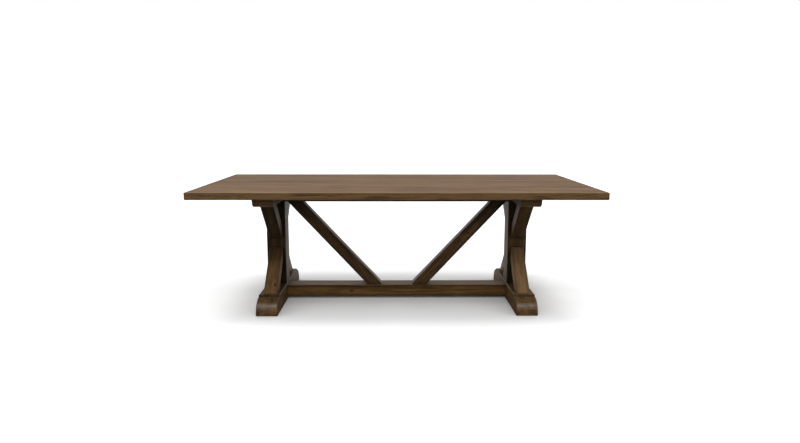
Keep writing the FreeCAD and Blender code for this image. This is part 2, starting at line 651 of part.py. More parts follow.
def draw_brace(sketch):
    """Front view of the right brace: two parallel sides between stretcher and rail.

    The corners run outer toe, head at the post, inner head and inner toe.
    """
    low, high = number(STRETCHER_TOP), number(RAIL_UNDERSIDE)
    inner_toe = Vector(number(BRACE_TOE), low, 0)
    outer_head = Vector(number(BRACE_HEAD), high, 0)
    width = number("Sizes.brace_thickness") * 2**0.5
    outer_toe = inner_toe + Vector(width, 0, 0)
    inner_head = outer_head - Vector(width, 0, 0)
    points = [outer_toe, outer_head, inner_head, inner_toe]
    for side, start in enumerate(points):
        sketch.addGeometry(Part.LineSegment(start, points[(side + 1) % 4]), False)
    for side in range(4):
        sketch.addConstraint(Sketcher.Constraint("Coincident", side, 2, (side + 1) % 4, 1))
    pin_point(sketch, 1, 1, (BRACE_HEAD, RAIL_UNDERSIDE))
    pin_point(sketch, 3, 1, (BRACE_TOE, STRETCHER_TOP))
    sketch.addConstraint(Sketcher.Constraint("Horizontal", 1))
    sketch.addConstraint(Sketcher.Constraint("Horizontal", 3))
    sketch.addConstraint(Sketcher.Constraint("Parallel", 0, 2))
    rule = Sketcher.Constraint("Distance", 3, 1, 0, number("Sizes.brace_thickness"))
    index = sketch.addConstraint(rule)
    sketch.setExpression(f"Constraints[{index}]", "Sizes.brace_thickness")


def build_brace(label):
    """Diagonal brace that rises from the stretcher to the corner of rail and post."""
    body = new_body(label)
    front_view = new_sketch(body, "front_view", "XZ_Plane")
    draw_brace(front_view)
    pad(body, front_view, "Sizes.brace_depth", side="Symmetric")

    def along_brace(edge):
        box = edge.BoundBox
        return close(box.YLength, 0) and box.XLength > 1 and box.ZLength > 1

    ease_edges(body, "Sizes.timber_arris", along_brace)
    for name, level, along, forwards in (
        ("toe", STRETCHER_TOP, BRACE_TOE_TENON, True),
        ("head", RAIL_UNDERSIDE, BRACE_HEAD_TENON, False),
    ):
        mortise = new_sketch(body, f"{name}_mortise", "XY_Plane", level)
        draw_rectangle(mortise, (along, "0"), MORTISE_THICKNESS, MORTISE_WIDTH)
        pocket(body, mortise, MORTISE_DEPTH, forwards=forwards)
    return body


# ---- loose tenons, fasteners and pads ------------------------------------------------------------

def group_copies(label, copies):
    """Copies of small pieces as one node of separate solids, each given as piece, place and rotation."""
    links = []
    for count, (piece, along, across, level, rotation) in enumerate(copies, start=1):
        link = doc.addObject("App::Link", f"{label}_copy_{count}")
        link.LinkedObject = piece
        place(link, along, across, level, rotation)
        links.append(link)
    group = doc.addObject("Part::Compound", label)
    group.Label = label
    group.Links = links
    return group


def build_loose_tenons():
    """Loose tenons of the legs, upright in foot and bearer and level in the post, and of the braces."""
    tenon = new_body("loose_tenon")
    section = new_sketch(tenon, "section", "XY_Plane")
    draw_rectangle(section, ("0", "0"), "Sizes.loose_tenon_width", "Sizes.loose_tenon_thickness")
    pad(tenon, section, "Sizes.loose_tenon_length", side="Symmetric")
    of_legs = []
    for along in both_ways(TRESTLE):
        for end_tenon, end_level in ((LOWER_TENON, FOOT_TOP), (UPPER_TENON, BEARER_UNDERSIDE)):
            for across in both_ways(end_tenon):
                of_legs.append((tenon, along, across, end_level, STRAIGHT))
        for across in both_ways(POST_FACE):
            for nose_level in (UPPER_NOSE_TENON, LOWER_NOSE_TENON):
                of_legs.append((tenon, along, across, nose_level, LEVEL))
    of_braces = [(tenon, along, "0", STRETCHER_TOP, QUARTER) for along in both_ways(BRACE_TOE_TENON)]
    of_braces += [(tenon, along, "0", RAIL_UNDERSIDE, QUARTER) for along in both_ways(BRACE_HEAD_TENON)]
    return [group_copies("leg_loose_tenons", of_legs), group_copies("brace_loose_tenons", of_braces)]


def build_bolt(label, plane, diameter, length, head, head_height, head_forwards):
    """Hexagon-head bolt or screw with its origin under the head."""
    body = new_body(label)
    hexagon = new_sketch(body, "head", plane)
    draw_hexagon(hexagon, head)
    pad(body, hexagon, head_height, backwards=not head_forwards)
    shank = new_sketch(body, "shank", plane)
    draw_circles(shank, [("0", "0")], diameter)
    pad(body, shank, length, backwards=head_forwards)
    return body


def build_nut():
    """Square nut, with its tapped hole along the table."""
    body = new_body("square_nut")
    section = new_sketch(body, "section", "YZ_Plane")
    draw_rectangle(section, ("0", "0"), "Sizes.nut_width", "Sizes.nut_width")
    draw_circles(section, [("0", "0")], "Sizes.connector_diameter")
    pad(body, section, "Sizes.nut_thickness", side="Symmetric")
    return body


def build_connectors():
    """Bolts and square nuts of the stretcher and of the rail."""
    bolt = build_bolt(
        "connector_bolt", "YZ_Plane", "Sizes.connector_diameter", "Sizes.connector_length",
        "Sizes.connector_head", "Sizes.connector_head_height", head_forwards=True)
    nut = build_nut()
    groups = []
    for name, level, width, shoulder in (
        ("stretcher", STRETCHER_MIDDLE, "Sizes.foot_width", FOOT_INNER),
        ("rail", BEARER_MIDDLE, "Sizes.bearer_width", BEARER_INNER),
    ):
        bore_floor = f"({TRESTLE} + {width} / 2 - Sizes.connector_sink)"
        nut_place = f"({shoulder} - Sizes.nut_setback)"
        for part_name, master, along in (("bolts", bolt, bore_floor), ("nuts", nut, nut_place)):
            copies = []
            for across in both_ways("Sizes.connector_spacing / 2"):
                copies.append((master, along, across, level, STRAIGHT))
                copies.append((master, minus(along), across, level, TURNED))
            groups.append(group_copies(f"{name}_{part_name}", copies))
    return groups


def build_top_screws():
    """Coach screws that hold the boards to the bearers."""
    screw = build_bolt(
        "coach_screw", "XY_Plane", "Sizes.screw_diameter", "Sizes.screw_length",
        "Sizes.screw_head", "Sizes.screw_head_height", head_forwards=False)
    spots = grid(TRESTLE, INNER_SCREW) + grid(TRESTLE, OUTER_SCREW)
    return group_copies("top_screws", [(screw, *spot, BEARER_UNDERSIDE, STRAIGHT) for spot in spots])


def build_floor_pads():
    """The four felt pads under the feet."""
    felt = new_body("felt_pad")
    section = new_sketch(felt, "section", "XY_Plane")
    draw_rectangle(section, ("0", "0"), "Sizes.pad_width", "Sizes.pad_length")
    pad(felt, section, "Sizes.pad_thickness")
    spots = grid(TRESTLE, PAD_PLACE)
    return group_copies("floor_pads", [(felt, *spot, "0", STRAIGHT) for spot in spots])


# ---- the table -----------------------------------------------------------------------------------

def build_top():
    """Boards and their tongues."""
    count = round(number("Sizes.board_count"))
    return [build_board(index, count) for index in range(count)] + [build_tongues(count)]


def build_trestle(sign, name):
    """Foot, post, bearer and four legs of one trestle."""
    centre = f"{sign} * {TRESTLE}"
    facing = STRAIGHT if sign > 0 else TURNED
    pieces = [build_foot(f"{name}_foot"), build_post(f"{name}_post"), build_bearer(f"{name}_bearer")]
    for piece in pieces:
        place(piece, along=centre, rotation=facing)
    for side, rotation in (("rear", STRAIGHT), ("front", TURNED)):
        upper = build_leg(
            f"{name}_{side}_upper_leg", UPPER_TOE, BEARER_UNDERSIDE, "Sizes.upper_nose_height",
            UPPER_END, UPPER_TENON, UPPER_NOSE_TENON, upper=True)
        lower = build_leg(
            f"{name}_{side}_lower_leg", LOWER_TOE, FOOT_TOP, "Sizes.lower_nose_height",
            LOWER_END, LOWER_TENON, LOWER_NOSE_TENON, upper=False)
        for leg in (upper, lower):
            place(leg, along=centre, rotation=rotation)
            pieces.append(leg)
    return pieces


def build_centre():
    """Stretcher, rail and braces between the trestles."""
    stretcher = build_tie(
        "stretcher", STRETCHER_MIDDLE, "Sizes.stretcher_height", "Sizes.stretcher_depth",
        FOOT_INNER, STRETCHER_MIDDLE)
    cut_brace_mortises(stretcher, STRETCHER_TOP, BRACE_TOE_TENON, forwards=False)
    rail = build_tie(
        "top_rail", RAIL_MIDDLE, "Sizes.rail_height", "Sizes.rail_depth",
        BEARER_INNER, BEARER_MIDDLE)
    cut_brace_mortises(rail, RAIL_UNDERSIDE, BRACE_HEAD_TENON, forwards=True)
    pieces = [stretcher, rail]
    for (_, name), rotation in zip(SIDES, (TURNED, STRAIGHT)):
        brace = build_brace(f"{name}_brace")
        place(brace, rotation=rotation)
        pieces.append(brace)
    return pieces


def check_document(nodes):
    """Stop if any object failed, or a node's shape is missing or not valid."""
    for item in doc.Objects:
        if "Invalid" in item.State or "Error" in item.State:
            raise RuntimeError(f"{item.Name} failed: {item.State}")
    for node in nodes:
        if node.Shape.isNull() or not node.Shape.isValid():
            raise RuntimeError(f"{node.Label} has no valid shape")


def write_steps(nodes):
    """Write each node to a STEP file named after its label."""
    os.makedirs("parts", exist_ok=True)
    for node in nodes:
        node.Shape.exportStep(f"parts/{node.Label}.step")
        print(f"{node.Label}: {len(node.Shape.Solids)} solid(s), {node.Shape.Volume / 1000:.0f} cm3")


pieces_of_table = build_top()
for trestle_sign, trestle_name in SIDES:
    pieces_of_table += build_trestle(trestle_sign, trestle_name)
pieces_of_table += build_centre()
pieces_of_table += build_loose_tenons()
pieces_of_table += build_connectors()
pieces_of_table.append(build_top_screws())
pieces_of_table.append(build_floor_pads())
doc.recompute()
check_document(pieces_of_table)
write_steps(pieces_of_table)
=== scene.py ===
"""Finishes the trestle dining table: stained timber, joinery, ironwork, floor pads and studio.

Lengths are in metres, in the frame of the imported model: +X along the table, +Y across it
towards the back, +Z up, with the origin on the floor under the middle of the tabletop.
"""
import logging
import math
from dataclasses import dataclass, fields, replace
from enum import Enum
from operator import attrgetter
from typing import ClassVar, Union

import bpy
from mathutils import Euler, Matrix, Vector

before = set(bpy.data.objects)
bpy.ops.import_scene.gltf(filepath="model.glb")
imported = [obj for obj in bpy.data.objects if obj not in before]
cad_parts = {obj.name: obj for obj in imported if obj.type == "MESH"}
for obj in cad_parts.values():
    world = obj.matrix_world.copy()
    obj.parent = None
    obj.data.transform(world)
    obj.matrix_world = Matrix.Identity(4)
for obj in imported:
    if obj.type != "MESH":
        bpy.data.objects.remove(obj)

LOG = logging.getLogger("table")

Socket = bpy.types.NodeSocket
Value = Union[float, Socket]
Span = tuple[float, float]
Numbers = tuple[float, float, float]

FULL: Span = (0.0, 1.0)
FALLING: Span = (1.0, 0.0)


class Side(Enum):
    """The two trestles, by the end of the table that each one carries."""

    LEFT = "left"
    RIGHT = "right"


@dataclass(frozen=True)
class Colour:
    """A colour by its red, green and blue on the display's scale of 0 to 255.

    The display's curve has a straight foot, and above it a power of the offset value.
    """

    BRIGHTEST: ClassVar[int] = 255
    FOOT_TOP: ClassVar[float] = 0.04045
    FOOT_SLOPE: ClassVar[float] = 12.92
    OFFSET: ClassVar[float] = 0.055
    POWER: ClassVar[float] = 2.4

    red: int
    green: int
    blue: int

    @property
    def linear(self) -> tuple[float, float, float, float]:
        """Gives the colour in linear light with an alpha of 1, as the shaders take it."""
        parts = (self.red, self.green, self.blue)
        return (*(self._decoded(part / self.BRIGHTEST) for part in parts), 1.0)

    @classmethod
    def _decoded(cls, part: float) -> float:
        """Takes one channel from the display's curve to linear light.

        Args:
            part: the channel from 0 to 1.

        Returns:
            The channel in linear light.
        """
        if part <= cls.FOOT_TOP:
            return part / cls.FOOT_SLOPE
        return ((part + cls.OFFSET) / (1 + cls.OFFSET)) ** cls.POWER


@dataclass(frozen=True)
class Noise:
    """A noise that is stretched along the axes.

    The stretch is how many times it repeats in a metre along each axis, the detail how many
    finer octaves it has, and the span the part of its range that counts where it is faded.
    """

    stretch: Numbers
    detail: float = 2.0
    distortion: float = 0.0
    span: Span = FULL


class Graph:
    """Builds the node graph of one material or world and keeps its joins short to write.

    A Mix node has its colours behind the sockets that it keeps for numbers and vectors.
    """

    MIX_COLOURS: ClassVar[slice] = slice(6, 8)
    MIX_RESULT: ClassVar[int] = 2

    def __init__(self, owner: Union[bpy.types.Material, bpy.types.World]) -> None:
        """Starts an empty graph.

        Args:
            owner: the new material or world whose graph it is.
        """
        owner.use_nodes = True
        self.owner = owner
        self.tree = owner.node_tree
        self.tree.nodes.clear()

    @classmethod
    def of_material(cls, name: str) -> "Graph":
        """Starts an empty graph in a new material.

        Args:
            name: the name of the material.

        Returns:
            The graph.
        """
        return cls(bpy.data.materials.new(name))

    def node(self, kind: str, **settings: object) -> bpy.types.Node:
        """Adds a node.

        Args:
            kind: Blender's name of the node's type, without its "ShaderNode".
            **settings: properties of the node.

        Returns:
            The new node.
        """
        made = self.tree.nodes.new(f"ShaderNode{kind}")
        for key, value in settings.items():
            setattr(made, key, value)
        return made

    def feed(self, target: Socket, value: object) -> None:
        """Joins a socket to an input, or sets the input to a constant.

        Args:
            target: the input.
            value: a socket, a number or a tuple of numbers.
        """
        if isinstance(value, Socket):
            self.tree.links.new(value, target)
        else:
            target.default_value = value

    def math(self, operation: str, *values: Value, clamp: bool = False) -> Socket:
        """Works out one operation on numbers.

        Args:
            operation: the operation of a Math node.
            *values: its one, two or three values.
            clamp: whether the result stays between 0 and 1.

        Returns:
            The result.
        """
        made = self.node("Math", operation=operation, use_clamp=clamp)
        for target, value in zip(made.inputs, values):
            self.feed(target, value)
        return made.outputs[0]

    def vector(self, operation: str, *values: Union[Numbers, Socket]) -> Socket:
        """Works out one operation on vectors.

        Args:
            operation: the operation of a Vector Math node.
            *values: its vectors.

        Returns:
            The result, which is a number for a length.
        """
        made = self.node("VectorMath", operation=operation)
        for target, value in zip(made.inputs, values):
            self.feed(target, value)
        return made.outputs["Value" if operation == "LENGTH" else "Vector"]

    def split(self, value: Socket) -> list[Socket]:
        """Splits a vector.

        Args:
            value: the vector.

        Returns:
            Its three parts.
        """
        made = self.node("SeparateXYZ")
        self.feed(made.inputs[0], value)
        return list(made.outputs)

    def fade(self, value: Value, span: Span, ends: Span = FULL) -> Socket:
        """Runs smoothly from one number to another while a value crosses a span.

        Args:
            value: the value.
            span: where the run starts and where it stops.
            ends: the result up to the start and the result from the stop on.

        Returns:
            The result.
        """
        made = self.node("MapRange", interpolation_type="SMOOTHSTEP")
        for target, part in zip(made.inputs, (value, *span, *ends)):
            self.feed(target, part)
        return made.outputs[0]

    def noise(self, place: Socket, noise: Noise, output: str = "Fac") -> Socket:
        """Draws noise.

        Args:
            place: the coordinates in metres.
            noise: the kind of noise.
            output: the output that counts, "Fac" for a number or "Color" for three.

        Returns:
            The noise.
        """
        made = self.node("TexNoise")
        self.feed(made.inputs["Vector"], self.vector("MULTIPLY", place, noise.stretch))
        made.inputs["Scale"].default_value = 1.0
        made.inputs["Detail"].default_value = noise.detail
        made.inputs["Distortion"].default_value = noise.distortion
        return made.outputs[output]

    def faded_noise(self, place: Socket, noise: Noise, ends: Span = FULL) -> Socket:
        """Draws noise that runs between two numbers.

        Args:
            place: the coordinates in metres.
            noise: the kind of noise.
            ends: the results below and above the noise's span.

        Returns:
            The noise.
        """
        return self.fade(self.noise(place, noise), noise.span, ends)

    def mix(self, amount: Value, first: object, second: object) -> Socket:
        """Mixes two colours.

        Args:
            amount: the share of the second colour, from 0 to 1.
            first: the first colour, as a Colour or a socket.
            second: the second colour, as a Colour or a socket.

        Returns:
            The mixed colour.
        """
        made = self.node("Mix", data_type="RGBA")
        self.feed(made.inputs[0], amount)
        for target, colour in zip(made.inputs[self.MIX_COLOURS], (first, second)):
            self.feed(target, colour.linear if isinstance(colour, Colour) else colour)
        return made.outputs[self.MIX_RESULT]

    def bump(self, height: Socket, depth: float, strength: float) -> Socket:
        """Turns a height into a bumpy normal.

        Args:
            height: the height, in units of the depth.
            depth: the depth in metres that a height of 1 stands for.
            strength: the share of the bump that shows.

        Returns:
            The normal.
        """
        made = self.node("Bump")
        made.inputs["Strength"].default_value = strength
        made.inputs["Distance"].default_value = depth
        self.feed(made.inputs["Height"], height)
        return made.outputs[0]

    def openness(self, reach: float, samples: int) -> Socket:
        """Measures how open the surroundings of each point are.

        Args:
            reach: how far away things count, in metres.
            samples: the number of rays that look.

        Returns:
            The openness, from 0 in a closed corner to 1 in the open.
        """
        made = self.node("AmbientOcclusion", samples=samples)
        made.inputs["Distance"].default_value = reach
        return made.outputs["AO"]

    def finish(self, shader: Socket) -> bpy.types.Material:
        """Joins the surface to the material's output.

        Args:
            shader: the surface's shader.

        Returns:
            The material.
        """
        self.tree.links.new(shader, self.node("OutputMaterial").inputs["Surface"])
        return self.owner


def put_on(piece: bpy.types.Object, material: bpy.types.Material) -> None:
    """Gives every slot of a piece one material.

    Args:
        piece: the piece.
        material: the material.
    """
    if not piece.material_slots:
        piece.data.materials.append(material)
    for slot in piece.material_slots:
        slot.material = material


@dataclass(frozen=True)
class Timber:
    """The axes of a sawn piece: along the grain, across its width and through its thickness.

    Faces whose directions are the same to so many digits count as one.
    """

    DIGITS: ClassVar[int] = 2

    centre: Vector
    turn: Euler
    half: Vector

    @classmethod
    def of(cls, piece: bpy.types.Object) -> "Timber":
        """Finds the axes of a piece from its two broadest pairs of faces.

        Args:
            piece: the sawn piece.

        Returns:
            Its axes, centre and half sizes.
        """
        totals: dict[tuple[float, ...], Vector] = {}
        for face in piece.data.polygons:
            facing = face.normal if max(face.normal) > -min(face.normal) else -face.normal
            # Adding 0 turns -0.0 into 0.0, so that both are the same direction.
            direction = tuple(round(part, cls.DIGITS) + 0.0 for part in facing)
            totals[direction] = totals.get(direction, Vector()) + facing * face.area
        ranked = sorted(totals.values(), key=attrgetter("length"), reverse=True)
        broad, narrow = (total.normalized() for total in ranked[:2])
        grain = broad.cross(narrow).normalized()
        axes = Matrix((grain, broad.cross(grain), broad)).transposed()
        corners = [axes.transposed() @ vertex.co for vertex in piece.data.vertices]
        low, high = (Vector([pick(parts) for parts in zip(*corners)]) for pick in (min, max))
        return cls(axes @ ((low + high) / 2), axes.to_euler(), (high - low) / 2)


@dataclass(frozen=True)
class Surface:
    """Where each point of a sawn piece lies and how it faces, for the piece's shader.

    The edge is the distance along the surface to the nearest long arris. The plank's coordinates
    are the timber's own, moved by so many strides that no two planks share their figure.
    """

    STRIDE: ClassVar[Numbers] = (3.17, 1.31, 2.23)
    UPRIGHT: ClassVar[Span] = (0.2, 0.6)
    FACING_ALONG: ClassVar[Span] = (0.8, 0.98)

    graph: Graph
    seed: int
    local: Socket
    plank: Socket
    edge: Socket
    height: Socket
    aside: Socket
    rise: Socket
    upright: Socket

    @classmethod
    def of(cls, piece: bpy.types.Object, graph: Graph, seed: int) -> "Surface":
        """Sets out the coordinates of a piece in the graph of its material.

        Args:
            piece: the sawn piece.
            graph: the graph.
            seed: the number of the plank.

        Returns:
            The surface.
        """
        timber = Timber.of(piece)
        place = graph.node("TexCoord").outputs["Object"]
        mapping = graph.node("Mapping", vector_type="TEXTURE")
        graph.feed(mapping.inputs["Vector"], place)
        mapping.inputs["Location"].default_value = timber.centre
        mapping.inputs["Rotation"].default_value = timber.turn
        local = mapping.outputs[0]
        _, across, through = graph.split(graph.vector("ABSOLUTE", local))
        from_side = graph.math("SUBTRACT", timber.half.y, across)
        from_face = graph.math("SUBTRACT", timber.half.z, through)
        sideways, _, rise = graph.split(graph.node("NewGeometry").outputs["Normal"])
        return cls(
            graph=graph,
            seed=seed,
            local=local,
            plank=graph.vector("ADD", local, tuple(seed * stride for stride in cls.STRIDE)),
            edge=graph.math("MAXIMUM", from_side, from_face),
            height=graph.split(place)[2],
            aside=graph.math("ABSOLUTE", sideways),
            rise=rise,
            upright=graph.fade(graph.math("ABSOLUTE", rise), cls.UPRIGHT, FALLING))


@dataclass(frozen=True)
class Palette:
    """The colours of a wood: its stain, its glaze, its rubbed and highlit arrises and its painted
    shade.
    """

    early: Colour
    late: Colour
    pore: Colour
    glaze: Colour
    shade: Colour
    worn_and_highlit: Colour


@dataclass(frozen=True)
class Grain:
    """The marks of the wood itself: latewood, fine fibres, bands of fibres and open pores."""

    late: Socket
    fibres: Socket
    bands: Socket
    pores: Socket


@dataclass(frozen=True)
class Rings:
    """Growth rings about a heart that lies beside the timber and wanders along it.

    The heart's place is how far it lies off to the side at most and how far below or above, and
    the heart turn is how far round it lies from one plank to the next. The thickening is the part
    of each ring over which earlywood turns into latewood.
    """

    NOISE_MIDDLE: ClassVar[Numbers] = (0.5, 0.5, 0.5)
    ACROSS: ClassVar[Numbers] = (0.0, 1.0, 1.0)

    spacing: float = 0.007
    heart: tuple[float, float] = (0.03, 0.11)
    heart_turn: float = 2.4
    wander: float = 0.05
    paths: Noise = Noise((0.9, 2.5, 2.5), 1.5)
    ripples: Noise = Noise((2.0, 45.0, 45.0))
    thickening: Span = (0.1, 0.86)

    def draw(self, surface: Surface) -> Socket:
        """Draws the rings.

        Args:
            surface: the surface.

        Returns:
            How far each place is latewood, from 0 to 1.
        """
        graph, seed = surface.graph, surface.seed
        sideways, below = self.heart
        side = 1 if seed % 2 else -1
        heart = (0.0, sideways * math.sin(seed * self.heart_turn), below * side)
        path = graph.noise(surface.plank, self.paths, "Color")
        wander = graph.vector("SUBTRACT", path, self.NOISE_MIDDLE)
        bent = graph.vector("MULTIPLY_ADD", wander, (0.0, self.wander, self.wander), surface.local)
        flat = graph.vector("MULTIPLY", graph.vector("SUBTRACT", bent, heart), self.ACROSS)
        ripple = graph.noise(surface.plank, self.ripples)
        count = graph.math("MULTIPLY_ADD", graph.vector("LENGTH", flat), 1 / self.spacing, ripple)
        phase = graph.math("FRACT", count)
        stop = graph.fade(phase, (self.thickening[1], 1.0), FALLING)
        return graph.math("MULTIPLY", graph.fade(phase, self.thickening), stop)


@dataclass(frozen=True)
class Figure:
    """How the stain takes on the wood, between the colours of earlywood and latewood.

    Rings, streaks, swirls and drift are the shares that each kind of mark moves the colour by.
    The edge swing is a figure on upright faces alone, and the end thirst is how much more of the
    stain the end grain drinks there. The painted side light is light painted onto the faces that
    look along the table, which are made lighter.
    """

    rings: float = 0.6
    streaks: float = 0.5
    swirls: float = 0.4
    drift: float = 0.35
    level: float = 0.25
    edge_swing: Span = (0.0, 0.0)
    end_thirst: float = 0.2
    end_grain: Span = (0.6, 0.9)
    painted_side_light: float = 0.0
    fibre_share: float = 0.3
    pore_share: float = 0.5
    faintest_ring: float = 0.2
    streak_noise: Noise = Noise((2.4, 75.0, 75.0), 5.0, span=(0.35, 0.7))
    swirl_noise: Noise = Noise((7.0, 32.0, 32.0), 4.0, 0.9, (0.32, 0.68))
    drift_noise: Noise = Noise((1.1, 9.0, 9.0), span=(0.3, 0.7))
    clear_noise: Noise = Noise((2.6, 16.0, 16.0), span=(0.38, 0.62))
    edge_noise: Noise = Noise((4.5, 12.0, 55.0), 4.0, 1.2, (0.36, 0.62))
    fibre_noise: Noise = Noise((6.0, 620.0, 620.0), 3.0, span=(0.35, 0.65))
    pore_noise: Noise = Noise((40.0, 1500.0, 1500.0), 1.0, span=(0.6, 0.72))

    def grain(self, surface: Surface, rings: Rings) -> Grain:
        """Draws the marks of the wood.

        Args:
            surface: the surface.
            rings: the growth rings.

        Returns:
            The marks.
        """
        graph, plank = surface.graph, surface.plank
        return Grain(
            late=rings.draw(surface),
            fibres=graph.noise(plank, self.fibre_noise),
            bands=graph.noise(plank, self.streak_noise),
            pores=graph.faded_noise(plank, self.pore_noise))

    def stain(self, surface: Surface, grain: Grain, palette: Palette, tone: float) -> Socket:
        """Stains the wood.

        Args:
            surface: the surface.
            grain: the marks of the wood.
            palette: the colours.
            tone: how much darker, or below 0 lighter, this plank is: its own tone, and on some
                timbers painted shading.

        Returns:
            The stained colour.
        """
        graph, plank = surface.graph, surface.plank
        clear = graph.faded_noise(plank, self.clear_noise, (self.faintest_ring, 1.0))
        ringed = graph.math("MULTIPLY", graph.math("MULTIPLY", grain.late, clear), self.rings)
        streaked = graph.fade(grain.bands, self.streak_noise.span, self._about_zero(self.streaks))
        drifted = graph.faded_noise(plank, self.drift_noise, self._about_zero(self.drift))
        swirled = graph.faded_noise(plank, self.swirl_noise, self._about_zero(self.swirls))
        fine = graph.math("ADD", ringed, streaked)
        broad = graph.math("ADD", graph.math("ADD", drifted, swirled), self._shift(surface, tone))
        colour = graph.mix(graph.math("ADD", fine, broad, clamp=True), palette.early, palette.late)
        fibres = graph.fade(grain.fibres, self.fibre_noise.span, (0.0, self.fibre_share))
        colour = graph.mix(fibres, colour, palette.late)
        pores = graph.math("MULTIPLY", grain.pores, self.pore_share)
        colour = graph.mix(pores, colour, palette.pore)
        if tone <= 0.0:
            return colour
        # Painted light: the faces that look along the table keep less of the darkening.
        tones = (tone, tone * (1.0 - self.painted_side_light))
        deepened = graph.fade(surface.aside, surface.FACING_ALONG, tones)
        return graph.mix(deepened, colour, palette.glaze)

    @staticmethod
    def _about_zero(swing: float) -> Span:
        """Gives the two ends of a swing about 0."""
        return -swing / 2, swing / 2

    def _shift(self, surface: Surface, tone: float) -> Socket:
        """Works out how far a whole face moves towards latewood.

        Args:
            surface: the surface.
            tone: how much darker the plank is than most: its own tone, and on some timbers painted
                shading.

        Returns:
            The shift.
        """
        graph, level = surface.graph, self.level + tone
        if not any(self.edge_swing):
            # Painted light: the faces that look along the table are shifted lighter.
            broadside = graph.fade(surface.aside, surface.FACING_ALONG)
            return graph.math("MULTIPLY_ADD", broadside, -self.painted_side_light, level)
        swing = graph.faded_noise(surface.plank, self.edge_noise, self.edge_swing)
        at_end = graph.fade(surface.aside, self.end_grain)
        change = graph.math("MULTIPLY", graph.math("SUBTRACT", 1.0, at_end), swing)
        change = graph.math("MULTIPLY_ADD", at_end, self.end_thirst, change)
        return graph.math("MULTIPLY_ADD", change, surface.upright, level)


@dataclass(frozen=True)
class GlazeAndPaintedShade:
    """Dark glaze along the arrises and round the knots, and painted shade in corners and on heads.

    Reaches and heights are in metres. The flat share is what is left of the arris glaze on level
    faces, and the knots' sizes are shares of the cells that they lie in. The painted shade of the
    corners fades in above the floor between their heights, and that over the head between its own.
    """

    arris_reach: float = 0.02
    arris_run: float = 0.6
    arris_share: float = 0.5
    arris_noise: Noise = Noise((7.0, 22.0, 22.0), 3.0)
    flat_share: float = 1.0
    knot_share: float = 0.0
    knot_cells: Numbers = (7.0, 14.0, 14.0)
    knot_sizes: Span = (0.05, 0.14)
    corner_reach: float = 0.05
    painted_corner_shade: float = 0.7
    corner_span: Span = (0.35, 0.9)
    corner_heights: Span = (0.03, 0.13)
    corner_samples: int = 6
    painted_head_shade: float = 0.0
    painted_head_heights: Span = (0.16, 0.36)

    def lay(self, surface: Surface, colour: Socket, palette: Palette) -> Socket:
        """Lays the glaze and paints shade into the corners and over the head.

        Args:
            surface: the surface.
            colour: the colour so far.
            palette: the colours.

        Returns:
            The glazed colour, with its painted shade.
        """
        graph = surface.graph
        share = self._arrises(surface)
        if self.knot_share:
            share = graph.math("MAXIMUM", share, self._knots(surface))
        colour = graph.mix(share, colour, palette.glaze)
        # Painted shade in the corners between pieces, darker where they are closed in.
        colour = graph.mix(self._corners(surface), colour, palette.shade)
        if not self.painted_head_shade:
            return colour
        # Painted shadow: darker towards the head, where the parts above shade it.
        head = graph.fade(surface.height, self.painted_head_heights, (0.0, self.painted_head_shade))
        return graph.mix(head, colour, palette.shade)

    def _arrises(self, surface: Surface) -> Socket:
        """Finds the uneven line of glaze along the arrises.

        Args:
            surface: the surface.

        Returns:
            The share of glaze.
        """
        graph, reach = surface.graph, self.arris_reach
        cloud = graph.noise(surface.plank, self.arris_noise)
        depth = graph.math("MULTIPLY_ADD", cloud, -2 * reach, surface.edge)
        near = graph.fade(depth, (-reach, reach * self.arris_run), (self.arris_share, 0.0))
        kept = graph.fade(surface.upright, FULL, (self.flat_share, 1.0))
        return graph.math("MULTIPLY", near, kept)

    def _knots(self, surface: Surface) -> Socket:
        """Scatters small dark knots and worm marks.

        Args:
            surface: the surface.

        Returns:
            The share of glaze.
        """
        graph = surface.graph
        cells = graph.node("TexVoronoi", feature="F1")
        graph.feed(cells.inputs["Vector"], graph.vector("MULTIPLY", surface.plank, self.knot_cells))
        cells.inputs["Scale"].default_value = 1.0
        return graph.fade(cells.outputs["Distance"], self.knot_sizes, (self.knot_share, 0.0))

    def _corners(self, surface: Surface) -> Socket:
        """Finds the corners between pieces, other than those at the floor, to paint shade into
        them.

        Args:
            surface: the surface.

        Returns:
            The share of painted shade.
        """
        graph = surface.graph
        openness = graph.openness(self.corner_reach, self.corner_samples)
        closed = graph.fade(openness, self.corner_span, (self.painted_corner_shade, 0.0))
        return graph.math("MULTIPLY", closed, graph.fade(surface.height, self.corner_heights))


@dataclass(frozen=True)
class WearAndHighlight:
    """Stain that is rubbed thin along the arrises, and a highlight painted along them.

    The run is where the lightening fades out, in parts of its reach. Even is how much of it the
    least rubbed patches have, and on_uprights how much of it is left on upright faces.
    """

    reach: float = 0.003
    run: Span = (0.7, 1.6)
    share: float = 0.5
    even: float = 0.0
    on_uprights: float = 1.0
    patches: Noise = Noise((9.0, 60.0, 60.0), 3.0, span=(0.4, 0.62))

    def rub_and_highlight(self, surface: Surface, colour: Socket, palette: Palette) -> Socket:
        """Rubs the arrises lighter, partly as rubbing and partly as a painted highlight.

        Args:
            surface: the surface.
            colour: the colour so far.
            palette: the colours.

        Returns:
            The rubbed and highlit colour.
        """
        graph = surface.graph
        patch = graph.faded_noise(surface.plank, self.patches, (self.even, 1.0))
        span = tuple(self.reach * part for part in self.run)
        near = graph.fade(surface.edge, span, (self.share, 0.0))
        left = graph.fade(surface.upright, FULL, (1.0, self.on_uprights))
        share = graph.math("MULTIPLY", graph.math("MULTIPLY", near, left), patch)
        # Partly rubbed stain, partly a painted highlight: the arrises turn lighter.
        return graph.mix(share, colour, palette.worn_and_highlit)


